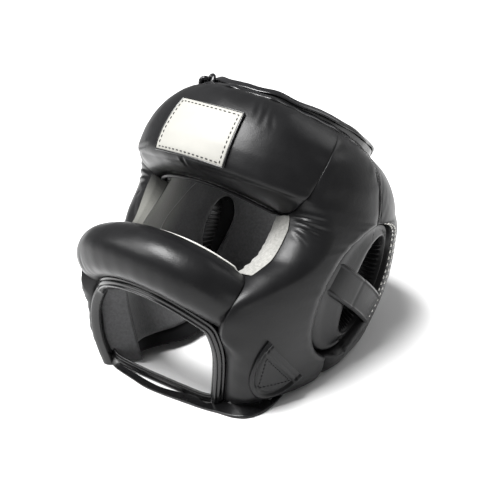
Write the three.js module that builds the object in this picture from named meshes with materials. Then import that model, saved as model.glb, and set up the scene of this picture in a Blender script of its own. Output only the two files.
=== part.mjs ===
// Boxing headgear with a face bar, lying tipped back on its chin strap and its nape edge.
import * as THREE from 'three';

// Millimetres and degrees. On the head, front is -Y, the wearer's left is +X and up is +Z.
// A place on the headgear is a turn (0 at the nose, 90 at the left ear) and a level
// (0 at the lower edge, 1 at the rim), with a height measured out from the lining.
const restTilt = 25;
const eyeHeight = 100;
const seamGap = 0.8;
const layGap = 0.9;
const sewGap = 0.5;
const degree = Math.PI / 180;

const table = (columns, lines) =>
  lines.map((line) => Object.fromEntries(columns.map((column, i) => [column, line[i]])));

// Level sections of the inner shell, from the lower edge up to the rim.
const shellRows = table(['zFront', 'zBack', 'halfWidth', 'front', 'back', 'square'], [
  [-148, -62, 60, 84, 90, 1.0],
  [-120, -47, 68, 100, 96, 0.95],
  [-88, -31, 73, 114, 100, 0.86],
  [-55, -15, 76, 120, 102, 0.82],
  [-25, 1, 77, 114, 101, 0.84],
  [5, 15, 76, 100, 98, 0.92],
  [32, 25, 75, 92, 95, 0.95],
  [57, 34, 74, 91, 92, 0.91],
  [76, 42, 71, 88, 88, 0.9],
  [89, 48, 66, 82, 84, 0.93],
  [96, 53, 58, 73, 78, 1.0],
]);

// Front border of a side pad from the jaw up to the rim: mouth, bar seam, eye, temple seam.
// Drop is the share of the padding lost at the border, over the width of its roll;
// round is 0.5 for a rolled edge and 1 for a long bevel.
const frontRows = table(['turn', 'level', 'drop', 'roll', 'round'], [
  [41, 0.055, 0.5, 14, 0.5],
  [40.6, 0.11, 0.5, 14, 0.5],
  [39.5, 0.17, 0.45, 14, 0.5],
  [36.2, 0.232, 0.35, 16, 0.5],
  [38, 0.29, 0.32, 24, 0.6],
  [40.5, 0.352, 0.72, 65, 0.95],
  [43, 0.41, 0.88, 80, 1],
  [45, 0.475, 0.86, 75, 1],
  [47, 0.54, 0.6, 50, 0.9],
  [51, 0.62, 0.26, 20, 0.6],
  [58, 0.73, 0.26, 16, 0.5],
  [64.5, 0.865, 0.26, 16, 0.5],
  [70, 1, 0.26, 16, 0.5],
]);
const frontStep = 1 / (frontRows.length - 1);
const barFoot = 3 * frontStep;
const eyeFoot = 5 * frontStep;
const eyeTop = 8 * frontStep;

// The ear opening is an oval that leans back with its level.
const ear = { turn: 96, level: 0.365, halfTurn: 21, halfLevel: 0.24, lean: 30 };
const earHole = { turn: 105, level: 0.365, halfTurn: 8.5, halfLevel: 0.14, lean: 30 };
const earLow = { along: 0.1, angle: 262 };
const earHigh = { along: 0.72, angle: 112 };
const sideFoot = { turn: 92, level: 0.012 };
const sideRim = { turn: 98, level: 1 };

const brow = { thick: 35, edge: 2, centreLow: 0.56, centreHigh: 1 };
const bar = { thick: 45, edge: 2, centreLow: 0.285, centreHigh: 0.41 };
const side = { thick: 36, edge: 2 };
const back = { thick: 32, edge: 2 };
const liningThick = 2;
const padLift = 0.5;

const leather = { color: 0x1b1b1c, roughness: 0.42, metalness: 0 };
const glossLeather = { color: 0x141415, roughness: 0.25, metalness: 0 };
const suede = { color: 0x8a8a86, roughness: 0.95, metalness: 0 };
const paleSuede = { color: 0xc9c8c2, roughness: 0.95, metalness: 0 };
const patchLeather = { color: 0xeeeeea, roughness: 0.5, metalness: 0 };
const cordFabric = { color: 0x101011, roughness: 0.6, metalness: 0 };

const clamp01 = (x) => Math.min(Math.max(x, 0), 1);
const mix = THREE.MathUtils.lerp;

// Smooth value of one column of a table, at a share of the way down it.
function along(rows, column, share) {
  const last = rows.length - 1;
  const at = clamp01(share) * last;
  const i = Math.min(Math.floor(at), last - 1);
  const t = at - i;
  const value = (k) => rows[Math.min(Math.max(k, 0), last)][column];
  const slope = (k) => (value(k + 1) - value(k - 1)) / (k === 0 || k === last ? 1 : 2);
  const rise = value(i + 1) - value(i);
  const bendIn = slope(i) - rise;
  const bendOut = rise - slope(i + 1);
  return value(i) + t * rise + t * (1 - t) * ((1 - t) * bendIn + t * bendOut);
}

// Inner shell: squarish at the face, elliptical behind the ears.
function shell(turn, level) {
  const c = Math.cos(turn * degree);
  const s = Math.sin(turn * degree);
  const row = (column) => along(shellRows, column, level);
  const power = 1 + (row('square') - 1) * Math.sqrt(clamp01(c + 0.15));
  const reach = c > 0 ? -row('front') : row('back');
  const middle = (row('zFront') + row('zBack')) / 2;
  const swing = (row('zFront') - row('zBack')) / 2;
  return new THREE.Vector3(
    row('halfWidth') * Math.sign(s) * Math.abs(s) ** power,
    reach * Math.abs(c) ** power,
    middle + swing * c,
  );
}

function shellNormal(turn, level) {
  const step = 0.002;
  const at = Math.min(Math.max(level, step), 1 - step);
  const across = shell(turn + 0.1, at).sub(shell(turn - 0.1, at));
  const up = shell(turn, at + step).sub(shell(turn, at - step));
  return across.cross(up).normalize();
}

function lift(turn, level, height) {
  return shell(turn, level).addScaledVector(shellNormal(turn, level), height);
}

// Tip the headgear back to its rest; leather that meets the table goes flat there.
function rest(point) {
  const tip = point.clone().applyAxisAngle(new THREE.Vector3(1, 0, 0), -restTilt * degree);
  tip.z = Math.max(tip.z + eyeHeight, 0);
  return tip;
}

function solid(points, triangles) {
  const geometry = new THREE.BufferGeometry();
  geometry.setAttribute('position', new THREE.Float32BufferAttribute(points.flatMap((p) => [p.x, p.y, p.z]), 3));
  const volume = triangles.reduce((sum, [a, b, c]) =>
    sum + points[a].dot(points[b].clone().cross(points[c])), 0);
  geometry.setIndex(triangles.flatMap(([a, b, c]) => (volume < 0 ? [a, c, b] : [a, b, c])));
  return geometry;
}

const quad = (a, b, c, d) => [[a, b, c], [a, c, d]];

// Closed sheet between an outer and an inner grid of points, open-ended or run into a ring.
function sheet(outer, inner, across, up, ring = false) {
  const wide = ring ? across : across + 1;
  const points = [];
  for (const face of [outer, inner]) {
    for (let j = 0; j <= up; j += 1) {
      for (let i = 0; i < wide; i += 1) {
        points.push(rest(face(i / across, j / up)));
      }
    }
  }
  const under = wide * (up + 1);
  const at = (i, j) => j * wide + (i % wide);
  const triangles = [];
  for (let i = 0; i < across; i += 1) {
    for (let j = 0; j < up; j += 1) {
      const [a, b, c, d] = [at(i, j), at(i + 1, j), at(i + 1, j + 1), at(i, j + 1)];
      triangles.push(...quad(a, b, c, d), ...quad(a + under, d + under, c + under, b + under));
    }
    const [a, b, c, d] = [at(i, 0), at(i + 1, 0), at(i, up), at(i + 1, up)];
    triangles.push(...quad(a, a + under, b + under, b), ...quad(c, d, d + under, c + under));
  }
  for (let j = 0; j < up && !ring; j += 1) {
    const [a, b, c, d] = [at(0, j), at(0, j + 1), at(across, j), at(across, j + 1)];
    triangles.push(...quad(a, b, b + under, a + under), ...quad(c, c + under, d + under, d));
  }
  return solid(points, triangles);
}

// Closed tube of one section along a run of frames, capped at its ends unless it is a ring.
function sweep(frames, section, ring) {
  const round = section.length;
  const points = frames.flatMap((frame) => section.map(([sideways, out]) =>
    rest(frame.at.clone().addScaledVector(frame.side, sideways).addScaledVector(frame.out, out))));
  const triangles = [];
  const steps = ring ? frames.length : frames.length - 1;
  for (let i = 0; i < steps; i += 1) {
    for (let k = 0; k < round; k += 1) {
      const here = i * round;
      const next = ((i + 1) % frames.length) * round;
      const turn = (k + 1) % round;
      triangles.push(...quad(here + k, next + k, next + turn, here + turn));
    }
  }
  if (!ring) {
    const end = (frames.length - 1) * round;
    for (let k = 1; k < round - 1; k += 1) {
      triangles.push([0, k, k + 1], [end, end + k + 1, end + k]);
    }
  }
  return solid(points, triangles);
}

// Frames along a run of places: side points to the left of the way, out leaves the head.
function framesOn(places, ring) {
  const count = places.length;
  const points = places.map((p) => lift(p.turn, p.level, p.height));
  return places.map((place, i) => {
    const next = points[ring ? (i + 1) % count : Math.min(i + 1, count - 1)];
    const last = points[ring ? (i + count - 1) % count : Math.max(i - 1, 0)];
    const way = next.clone().sub(last).normalize();
    const normal = shellNormal(place.turn, place.level);
    const sideways = normal.clone().cross(way).normalize();
    return { at: points[i], side: sideways, out: way.clone().cross(sideways) };
  });
}

const shifted = (frames, sideways) =>
  frames.map((frame) => ({ ...frame, at: frame.at.clone().addScaledVector(frame.side, sideways) }));

// Rounded section of a binding or lace: half sizes sideways and outward, with square corners kept soft.
function roundSection(halfSide, halfOut, count, square = 0.75) {
  return Array.from({ length: count }, (_, k) => {
    const angle = ((k + 0.5) / count) * 2 * Math.PI;
    const bend = (x) => Math.sign(x) * Math.abs(x) ** square;
    return [halfSide * bend(Math.cos(angle)), halfOut * bend(Math.sin(angle))];
  });
}

const rolled = (distance, width, round = 0.5) => (1 - (1 - clamp01(distance / width)) ** 2) ** round;
const crowded = (x) => mix(x, 0.5 - 0.5 * Math.cos(Math.PI * x), 0.7);

// A padded panel: a place for each share across and up, and a border rule for each of its four sides.
function makePad({ place, thick, edge, borders }) {
  const measure = (from, to) => {
    const steps = 6;
    let length = 0;
    for (let k = 0; k < steps; k += 1) {
      const a = place(mix(from[0], to[0], k / steps), mix(from[1], to[1], k / steps));
      const b = place(mix(from[0], to[0], (k + 1) / steps), mix(from[1], to[1], (k + 1) / steps));
      length += shell(a.turn, a.level).distanceTo(shell(b.turn, b.level));
    }
    return length;
  };
  const height = (across, up) => {
    const wide = measure([0, up], [1, up]);
    const tall = measure([across, 0], [across, 1]);
    const rules = borders(across, up);
    const distances = { start: across * wide, end: (1 - across) * wide, low: up * tall, high: (1 - up) * tall };
    const kept = Object.keys(rules).reduce((share, name) =>
      share * (1 - rules[name].drop * (1 - rolled(distances[name], rules[name].roll, rules[name].round))), 1);
    return edge + (thick - edge) * kept;
  };
  const trimmed = (across, up, trim) => {
    const a = mix(trim / measure([0, up], [1, up]), 1 - trim / measure([0, up], [1, up]), across);
    const b = mix(trim / measure([a, 0], [a, 1]), 1 - trim / measure([a, 0], [a, 1]), up);
    return [a, b];
  };
  const face = (trim, heightAt) => (across, up) => {
    const [a, b] = trimmed(crowded(across), crowded(up), trim);
    const at = place(a, b);
    return lift(at.turn, at.level, heightAt(a, b));
  };
  const find = (turn, level) => {
    let at = [0.5, 0.5];
    for (let k = 0; k < 12; k += 1) {
      const step = 1e-3;
      const here = place(...at);
      const right = place(at[0] + step, at[1]);
      const above = place(at[0], at[1] + step);
      const m = [right.turn - here.turn, above.turn - here.turn, right.level - here.level, above.level - here.level];
      const miss = [(turn - here.turn) * step, (level - here.level) * step];
      const area = m[0] * m[3] - m[1] * m[2];
      at = [
        clamp01(at[0] + (m[3] * miss[0] - m[1] * miss[1]) / area),
        clamp01(at[1] + (m[0] * miss[1] - m[2] * miss[0]) / area),
      ];
    }
    return at;
  };
  return {
    place,
    wide: (up) => measure([0, up], [1, up]),
    on: (across, up, extra) => {
      const at = place(across, up);
      return lift(at.turn, at.level, height(across, up) + extra);
    },
    heightOn: (turn, level) => height(...find(turn, level)),
    cover: (across, up) => sheet(face(seamGap / 2, height), face(seamGap / 2, () => padLift), across, up),
    lining: (across, up) => sheet(
      face(seamGap, () => -padLift),
      face(seamGap, () => -padLift - liningThick),
      across,
      up,
    ),
  };
}

const onOval = (oval, angle, grow = 1) => {
  const level = oval.level + oval.halfLevel * grow * Math.sin(angle * degree);
  const turn = oval.turn + oval.halfTurn * grow * Math.cos(angle * degree) + oval.lean * (level - oval.level);
  return { turn, level };
};
const between = (a, b, share) => ({ turn: mix(a.turn, b.turn, share), level: mix(a.level, b.level, share) });

const frontBorder = (share) => ({
  turn: along(frontRows, 'turn', share),
  level: along(frontRows, 'level', share),
});

// Border at the ear: up from the lower edge, round one half of the ear opening, and on to the rim.
function earBorder(share, highAngle) {
  if (share < earLow.along) {
    return between(sideFoot, onOval(ear, earLow.angle), share / earLow.along);
  }
  if (share > earHigh.along) {
    return between(onOval(ear, earHigh.angle), sideRim, (share - earHigh.along) / (1 - earHigh.along));
  }
  const on = (share - earLow.along) / (earHigh.along - earLow.along);
  return onOval(ear, mix(earLow.angle, highAngle, on));
}

// A panel that spans the face: its level bends from the middle towards its side border.
const facePlace = (low, high, size) => (across, up) => {
  const reach = 2 * across - 1;
  const border = frontBorder(mix(low, high, up));
  const centre = mix(size.centreLow, size.centreHigh, up);
  return { turn: border.turn * reach, level: mix(centre, border.level, reach * reach) };
};

const browPad = makePad({
  ...brow,
  place: facePlace(eyeTop, 1, brow),
  borders: () => ({
    start: { drop: 0.2, roll: 18 },
    end: { drop: 0.2, roll: 18 },
    low: { drop: 0.82, roll: 24 },
    high: { drop: 0.87, roll: 84 },
  }),
});

const barPad = makePad({
  ...bar,
  place: facePlace(barFoot, eyeFoot, bar),
  borders: () => ({
    start: { drop: 0.45, roll: 42 },
    end: { drop: 0.45, roll: 42 },
    low: { drop: 0.6, roll: 20 },
    high: { drop: 0.85, roll: 24 },
  }),
});

const sidePad = makePad({
  ...side,
  place: (across, up) => between(frontBorder(up), earBorder(up, earHigh.angle), across),
  borders: (across, up) => ({
    start: {
      drop: along(frontRows, 'drop', up),
      roll: along(frontRows, 'roll', up),
      round: along(frontRows, 'round', up),
    },
    end: { drop: 0.22, roll: 12 },
    low: { drop: 0.45, roll: 18 },
    high: { drop: 0.88, roll: 92 },
  }),
});

const backPad = makePad({
  ...back,
  place: (across, up) => {
    const reach = 2 * across - 1;
    const border = earBorder(up, earHigh.angle + 360);
    return { turn: 180 + (180 - border.turn) * reach, level: mix(up, border.level, reach * reach) };
  },
  borders: () => ({
    start: { drop: 0.22, roll: 14 },
    end: { drop: 0.22, roll: 14 },
    low: { drop: 0.6, roll: 24 },
    high: { drop: 0.82, roll: 70 },
  }),
});

// Sunken roll round the ear hole: two steps down from its outer oval to the hole.
const earSteps = table(['inward', 'height'], [
  [0, 21],
  [0.2, 25],
  [0.4, 20],
  [0.6, 19],
  [0.8, 13],
  [1, 6],
]);
function earRoll(around, inward) {
  const shrink = 1 - 1.9 / 42;
  const face = (heightAt) => (turnShare, share) => {
    const angle = turnShare * 360;
    const at = between(onOval(ear, angle, shrink), onOval(earHole, angle), share);
    return lift(at.turn, at.level, heightAt(share));
  };
  return sheet(face((share) => along(earSteps, 'height', share)), face(() => padLift), around, inward, true);
}

const earStrap = { wide: 28, thick: 2.6, height: 26.9, from: { turn: 79.5, level: 0.383 }, to: { turn: 108, level: 0.262 } };
function makeEarStrap(steps) {
  const places = Array.from({ length: steps + 1 }, (_, i) => ({
    ...between(earStrap.from, earStrap.to, i / steps),
    height: earStrap.height,
  }));
  return sweep(framesOn(places, false), roundSection(earStrap.wide / 2, earStrap.thick / 2, 8, 0.3), false);
}

// One run of places along the left half of an opening, carried on across the face to the right half.
function mirrorRun(half) {
  const other = half.slice(0, -1).reverse().map((place) => ({ ...place, turn: -place.turn }));
  return [...half, ...other];
}
const samples = (count, from, to, make) => Array.from({ length: count + 1 }, (_, i) => make(mix(from, to, i / count)));

const mouthEdge = { halfSide: 5.5, halfOut: 9, sideHeight: 11, barHeight: 18 };
function mouthBinding() {
  const sides = samples(8, 0.2 * frontStep, barFoot, (share) => ({
    ...frontBorder(share),
    height: mix(mouthEdge.sideHeight, mouthEdge.barHeight, share / barFoot),
  }));
  const lower = samples(8, 1, 0, (reach) => ({
    ...barPad.place(0.5 + reach / 2, 0),
    height: mouthEdge.barHeight,
  })).slice(1);
  const run = framesOn(mirrorRun([...sides, ...lower]), false);
  return sweep(shifted(run, mouthEdge.halfSide + sewGap), roundSection(mouthEdge.halfSide, mouthEdge.halfOut, 10), false);
}

// Pale facing on the bevelled sides of the eye opening, a crescent from corner to corner.
const facing = { thick: 1.4, narrow: 2, bulge: 12, ends: 0.05 };
function eyeFacing(around, across) {
  const face = (height) => (share, inward) => {
    const up = mix(eyeFoot, eyeTop, mix(facing.ends, 1 - facing.ends, share));
    const width = facing.narrow + facing.bulge * Math.sin(Math.PI * share);
    return sidePad.on((seamGap / 2 + width * inward) / sidePad.wide(up), up, height);
  };
  return sheet(face(layGap + facing.thick), face(layGap), around, across);
}

const piping = { radius: 1.7, height: 3.2 };
function eyePiping() {
  const edge = (place) => ({ ...place, height: piping.height });
  const upper = samples(6, 0, 0.94, (reach) => edge(browPad.place(0.5 + reach / 2, 0)));
  const sides = samples(7, eyeTop, eyeFoot, (share) => edge(frontBorder(share)));
  const lower = samples(6, 0.94, 0, (reach) => edge(barPad.place(0.5 + reach / 2, 1)));
  const half = [...upper, ...sides, ...lower];
  const other = half.slice(1, -1).reverse().map((place) => ({ ...place, turn: -place.turn }));
  const run = framesOn([...half, ...other], true);
  return sweep(shifted(run, -piping.radius - seamGap), roundSection(piping.radius, piping.radius, 5, 1), true);
}

const rim = { halfSide: 4.6, halfOut: 6, height: 4.5 };
const rimFrames = (height, sideways, count) => {
  const places = samples(count - 1, 0, 360 - 360 / count, (turn) => ({ turn, level: 1, height }));
  return shifted(framesOn(places, true), sideways);
};
const rimBinding = () =>
  sweep(rimFrames(rim.height, rim.halfSide + seamGap, 40), roundSection(rim.halfSide, rim.halfOut, 8), true);

const lace = { halfWide: 3.4, halfThick: 1.2 };
const laceHeight = rim.height + rim.halfOut + lace.halfThick + sewGap / 2;
const rimLace = () =>
  sweep(rimFrames(laceHeight, rim.halfSide + seamGap, 40), roundSection(lace.halfWide, lace.halfThick, 6, 0.6), true);

const knot = { turn: -24, level: 0.95, size: [8, 5.5, 4], sink: 0.2 };
function laceKnot() {
  const sphere = new THREE.SphereGeometry(1, 12, 8);
  const height = browPad.heightOn(knot.turn, knot.level) + knot.size[2] - knot.sink;
  const [frame] = framesOn([0, 1].map((step) => ({ turn: knot.turn + step, level: knot.level, height })), false);
  const forward = frame.side.clone().cross(frame.out);
  const basis = new THREE.Matrix4().makeBasis(forward, frame.side, frame.out);
  sphere.scale(...knot.size);
  sphere.applyMatrix4(basis.setPosition(frame.at));
  sphere.applyMatrix4(new THREE.Matrix4().makeRotationX(-restTilt * degree));
  sphere.translate(0, 0, eyeHeight);
  return sphere;
}

// Chin strap from its middle to the jaw: the edge at the throat and the edge in front, above the table.
const strapRows = table(['x', 'throatY', 'throatZ', 'frontX', 'frontY', 'frontZ'], [
  [0, -115, 2.4, 0, -132, 2.4],
  [15, -115, 2.4, 15, -132, 2.4],
  [30, -115, 2.4, 30, -132, 2.4],
  [42, -116, 4.2, 44, -133, 2.4],
  [54, -119.5, 10.6, 60, -134, 2.6],
  [67, -124, 12.8, 70, -133, 2.6],
  [75, -116.5, 11.1, 78, -124, 2.4],
  [79, -107.5, 9.2, 84, -113, 2.2],
  [82, -98.5, 7.6, 89, -102, 2],
  [84, -89.5, 6, 91, -92, 2],
]);
const chin = { thick: 2.4, y: -125.5, topWide: 12, topReach: 49, topEnd: 9, topBow: 2.5 };
const xAxis = new THREE.Vector3(1, 0, 0);
const fromTable = (x, y, z) => new THREE.Vector3(x, y, z - eyeHeight).applyAxisAngle(xAxis, restTilt * degree);

function chinStrap(across, up) {
  const point = (share, forward) => {
    const reach = 2 * share - 1;
    const row = (column) => along(strapRows, column, Math.abs(reach));
    const x = Math.sign(reach) * mix(row('x'), row('frontX'), forward);
    return fromTable(x, mix(row('throatY'), row('frontY'), forward), mix(row('throatZ'), row('frontZ'), forward));
  };
  const under = (share, forward) => {
    const step = 0.01;
    const way = point(share + step, forward).sub(point(share - step, forward));
    const wide = point(share, 1).sub(point(share, 0));
    return point(share, forward).addScaledVector(way.cross(wide).normalize(), chin.thick);
  };
  return sheet(point, under, across, up);
}

// The strap's upper layer bows above it and is sewn down at both ends.
function chinStrapTop(steps) {
  const frames = samples(steps, chin.topReach, -chin.topReach, (x) => {
    const bow = 1 - (x / chin.topReach) ** 2;
    const slope = (-2 * chin.topBow * x) / chin.topReach ** 2;
    const out = fromTable(-slope, 0, eyeHeight + 1).normalize();
    return { at: fromTable(x, chin.y, chin.topEnd + chin.topBow * bow), side: fromTable(0, 1, eyeHeight), out };
  });
  return sweep(frames, roundSection(chin.topWide / 2, chin.thick / 2, 8, 0.3), false);
}

// D-shaped tab on the jaw: a straight edge from its top corner to its rear corner, and a bow below.
const tab = { thick: 2.4, top: { turn: 55, level: 0.213 }, rear: { turn: 74, level: 0.105 }, bow: { turn: -11.5, level: -0.09 } };
function jawTab() {
  const face = (height) => (across, up) => {
    const reach = (2 * across - 1) * 0.97;
    const depth = up * Math.sqrt(1 - reach ** 2);
    const on = between(tab.top, tab.rear, 0.5 + reach / 2);
    const turn = on.turn + tab.bow.turn * depth;
    const level = on.level + tab.bow.level * depth;
    return lift(turn, level, sidePad.heightOn(turn, level) + height);
  };
  return sheet(face(layGap + tab.thick), face(layGap), 12, 4);
}

const patch = { thick: 1.4, turn: 16.6, low: 0.645, high: 0.8 };
function foreheadPatch() {
  const face = (height) => (across, up) => {
    const turn = mix(-patch.turn, patch.turn, across);
    const level = mix(patch.low, patch.high, up);
    return lift(turn, level, browPad.heightOn(turn, level) + height);
  };
  return sheet(face(layGap + patch.thick), face(layGap), 8, 6);
}

function mirrored(geometry) {
  const copy = geometry.clone().scale(-1, 1, 1);
  const index = copy.index.array;
  for (let i = 0; i < index.length; i += 3) {
    [index[i], index[i + 1]] = [index[i + 1], index[i]];
  }
  return copy;
}

const pieces = [
  ['forehead_pad', browPad.cover(20, 8), leather],
  ['face_bar', barPad.cover(20, 8), leather],
  ['back_pad', backPad.cover(18, 15), leather],
  ['forehead_lining', browPad.lining(14, 7), suede],
  ['bar_lining', barPad.lining(14, 4), suede],
  ['back_lining', backPad.lining(12, 11), suede],
  ['eye_piping', eyePiping(), paleSuede],
  ['mouth_binding', mouthBinding(), glossLeather],
  ['rim_binding', rimBinding(), glossLeather],
  ['rim_lace', rimLace(), cordFabric],
  ['lace_knot', laceKnot(), cordFabric],
  ['chin_strap', chinStrap(30, 2), glossLeather],
  ['chin_strap_top', chinStrapTop(12), glossLeather],
  ['forehead_patch', foreheadPatch(), patchLeather],
];
const pairs = [
  ['side_pad', sidePad.cover(8, 23), leather],
  ['side_lining', sidePad.lining(4, 18), suede],
  ['ear_roll', earRoll(24, 5), leather],
  ['ear_strap', makeEarStrap(8), leather],
  ['jaw_tab', jawTab(), leather],
  ['eye_facing', eyeFacing(10, 2), paleSuede],
];
for (const [name, geometry, look] of pairs) {
  pieces.push([`${name}_left`, geometry, look], [`${name}_right`, mirrored(geometry), look]);
}

const headgear = new THREE.Group();
headgear.name = 'headgear';
for (const [name, geometry, look] of pieces) {
  const mesh = new THREE.Mesh(geometry, new THREE.MeshStandardMaterial(look));
  mesh.name = name;
  headgear.add(mesh);
}
const middle = new THREE.Box3().setFromObject(headgear).getCenter(new THREE.Vector3());
for (const mesh of headgear.children) {
  mesh.geometry.translate(-middle.x, -middle.y, 0);
}

export default headgear;
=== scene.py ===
import math
import bpy
import numpy as np
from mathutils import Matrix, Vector


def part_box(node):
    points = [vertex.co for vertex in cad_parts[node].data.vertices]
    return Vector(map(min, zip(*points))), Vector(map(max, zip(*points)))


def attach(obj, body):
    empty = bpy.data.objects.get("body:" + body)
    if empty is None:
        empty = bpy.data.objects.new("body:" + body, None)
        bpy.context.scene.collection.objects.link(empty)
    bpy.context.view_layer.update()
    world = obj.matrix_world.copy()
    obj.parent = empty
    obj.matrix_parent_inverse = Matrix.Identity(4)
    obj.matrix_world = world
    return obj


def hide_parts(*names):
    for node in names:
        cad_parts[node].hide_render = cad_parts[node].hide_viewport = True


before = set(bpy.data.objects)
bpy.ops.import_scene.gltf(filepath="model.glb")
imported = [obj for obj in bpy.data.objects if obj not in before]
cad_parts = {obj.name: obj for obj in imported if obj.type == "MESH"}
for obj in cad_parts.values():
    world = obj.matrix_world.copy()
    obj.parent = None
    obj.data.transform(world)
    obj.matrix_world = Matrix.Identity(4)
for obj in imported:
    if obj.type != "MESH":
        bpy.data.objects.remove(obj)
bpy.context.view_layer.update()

# Head frame in mm: front is -Y, the wearer's left +X, up +Z, eye level at zero.
# A place is a turn in degrees (0 nose, 90 left ear, 180 nape), a level (0 lower edge, 1 rim)
# and a height out from the lining.
restTilt = math.radians(25)  # tipped back on the table
eyeHeight = 100.0
sides = {"left": 1, "right": -1}  # the right side mirrors the left
tableGap = {"pad": 0.4, "lining": 0.8, "stitch": 0.1, "strap": 0}  # no point lies lower over the table
chinStrap = {"thick": 2.4, "y": -125.5, "grid": (201, 17)}
strapLow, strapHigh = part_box("chin_strap_top")
headY = (strapLow.y + strapHigh.y) / 2 * 1000 - chinStrap["y"]  # the solids are centred on their box


def byColumn(columns, rows):
    return {c: np.array([r[i] for r in rows], float) for i, c in enumerate(columns)}


def byRow(columns, rows):
    return [dict(zip(columns, r)) for r in rows]


# The lining's outline, from the lower edge to the rim.
shellRows = byColumn(["zFront", "zBack", "halfWidth", "front", "back", "square"], [
    [-148, -62, 60, 84, 90, 1.0],
    [-120, -47, 68, 100, 96, 0.95],
    [-88, -31, 73, 114, 100, 0.86],
    [-55, -15, 76, 120, 102, 0.82],
    [-25, 1, 77, 114, 101, 0.84],
    [5, 15, 76, 100, 98, 0.92],
    [32, 25, 75, 92, 95, 0.95],
    [57, 34, 74, 91, 92, 0.91],
    [76, 42, 71, 88, 88, 0.9],
    [89, 48, 66, 82, 84, 0.93],
    [96, 53, 58, 73, 78, 1.0],
])
# The front border of the side padding, from the jaw to the rim, and how the padding rolls off there.
frontRows = byColumn(["turn", "level", "drop", "roll", "round"], [
    [44.8, 0.02, 0.5, 14, 0.5],
    [43.8, 0.096, 0.5, 14, 0.5],
    [41.8, 0.172, 0.45, 14, 0.5],
    [36.6, 0.232, 0.06, 6, 0.5],
    [38, 0.29, 0.06, 6, 0.6],
    [43.5, 0.352, 0.6, 24, 0.6],
    [50, 0.41, 0.88, 34, 0.65],
    [51, 0.475, 0.88, 34, 0.65],
    [51, 0.542, 0.78, 26, 0.65],
    [52.5, 0.62, 0.2, 14, 0.6],
    [58, 0.73, 0.05, 6, 0.5],
    [64.5, 0.865, 0.02, 4, 0.5],
    [70, 1, 0.01, 4, 0.5],
])
frontStep = 1 / 12
barFoot, eyeFoot, eyeTop = 3 * frontStep, 5 * frontStep, 8 * frontStep


def gridOf(x, y):
    return np.meshgrid(x, y, indexing="ij")


def mix(a, b, t):
    return a + (b - a) * t


def eased(t):
    t = np.clip(t, 0, 1)
    return t * t * (3 - 2 * t)


def along(rows, column, share):  # smooth curve through a column
    v = rows[column]
    last = len(v) - 1
    at = np.clip(share, 0, 1) * last
    i = np.minimum(np.floor(at).astype(int), last - 1)
    t = at - i
    slope = np.gradient(v)
    rise = v[i + 1] - v[i]
    return v[i] + t * rise + t * (1 - t) * ((1 - t) * (slope[i] - rise) + t * (rise - slope[i + 1]))


def unit(v):
    return v / np.maximum(np.linalg.norm(v, axis=-1, keepdims=True), 1e-9)


def shell(turn, level):
    turn, level = np.broadcast_arrays(np.asarray(turn, float), np.asarray(level, float))
    c, s = np.cos(np.radians(turn)), np.sin(np.radians(turn))
    row = {k: along(shellRows, k, level) for k in shellRows}
    power = 1 + (row["square"] - 1) * np.sqrt(np.clip(c + 0.15, 0, 1))  # squarer toward the face
    reach = np.where(c > 0, -row["front"], row["back"])
    middle, swing = (row["zFront"] + row["zBack"]) / 2, (row["zFront"] - row["zBack"]) / 2
    return np.stack([row["halfWidth"] * np.sign(s) * np.abs(s) ** power,
                     reach * np.abs(c) ** power, middle + swing * c], -1)


def shellNormal(turn, level, turnStep=0.1, levelStep=0.002):
    at = np.clip(level, levelStep, 1 - levelStep)
    across = shell(turn + turnStep, at) - shell(turn - turnStep, at)
    up = shell(turn, at + levelStep) - shell(turn, at - levelStep)
    return unit(np.cross(across, up))


def lift(turn, level, height):
    return shell(turn, level) + shellNormal(turn, level) * np.asarray(height)[..., None]


sag = {"deep": 40, "outer": -95, "outerEase": 30, "innerEase": 60, "front": -124, "full": -56,
       "back": 62, "backEase": 110, "high": 92}


def sunk(x, y, z):  # the lining of the right cheek has sunk inward near the table
    inside = eased((x - sag["outer"]) / sag["outerEase"]) * eased(-x / sag["innerEase"])
    front = eased((y - sag["front"]) / (sag["full"] - sag["front"]))
    back = eased((sag["back"] - y) / sag["backEase"])
    return x + sag["deep"] * inside * (front * back) * np.clip(1 - z / sag["high"], 0, 1) ** 2


def rest(p, floor=tableGap["pad"]):  # tip the head frame back on the table, in metres
    c, s = math.cos(restTilt), math.sin(restTilt)
    y = p[..., 1] * c + p[..., 2] * s
    z = -p[..., 1] * s + p[..., 2] * c + eyeHeight
    return np.stack([sunk(p[..., 0], y, z), y + headY, np.maximum(z, floor)], -1) / 1000


def mirrorFor(side):
    return np.array([side, 1, 1])


def placed(turn, level, height, side=1, floor=tableGap["pad"]):
    return rest(lift(turn, level, height) * mirrorFor(side), floor)


def fromTable(x, y, z):  # a point given above the table, taken back to the head frame
    c, s = math.cos(restTilt), math.sin(restTilt)
    z = np.asarray(z, float) - eyeHeight
    x, y, z = np.broadcast_arrays(x, y, z)
    return np.stack([x, y * c - z * s, y * s + z * c], -1)


def waves(p, size, seed, count=7):  # smooth uneven swell, about -1 to 1, over lengths near size mm
    draw = np.random.default_rng(seed)
    total = 0
    for k in range(count):
        way = unit(draw.normal(size=3)) / (size * draw.uniform(0.7, 1.5))
        total = total + np.sin(2 * math.pi * (p @ way) + draw.uniform(0, 2 * math.pi))
    return total / math.sqrt(count * 1.2)


def ripple(s, drift, size, seed, count=4):  # uneven gathers along a seam
    draw = np.random.default_rng(seed)
    total = 0
    for k in range(count):
        total = total + np.sin(2 * math.pi * (s / (size * draw.uniform(0.6, 1.7))
                               + drift * draw.uniform(-0.25, 0.25) / size + draw.uniform()))
    return total / math.sqrt(count)


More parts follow.
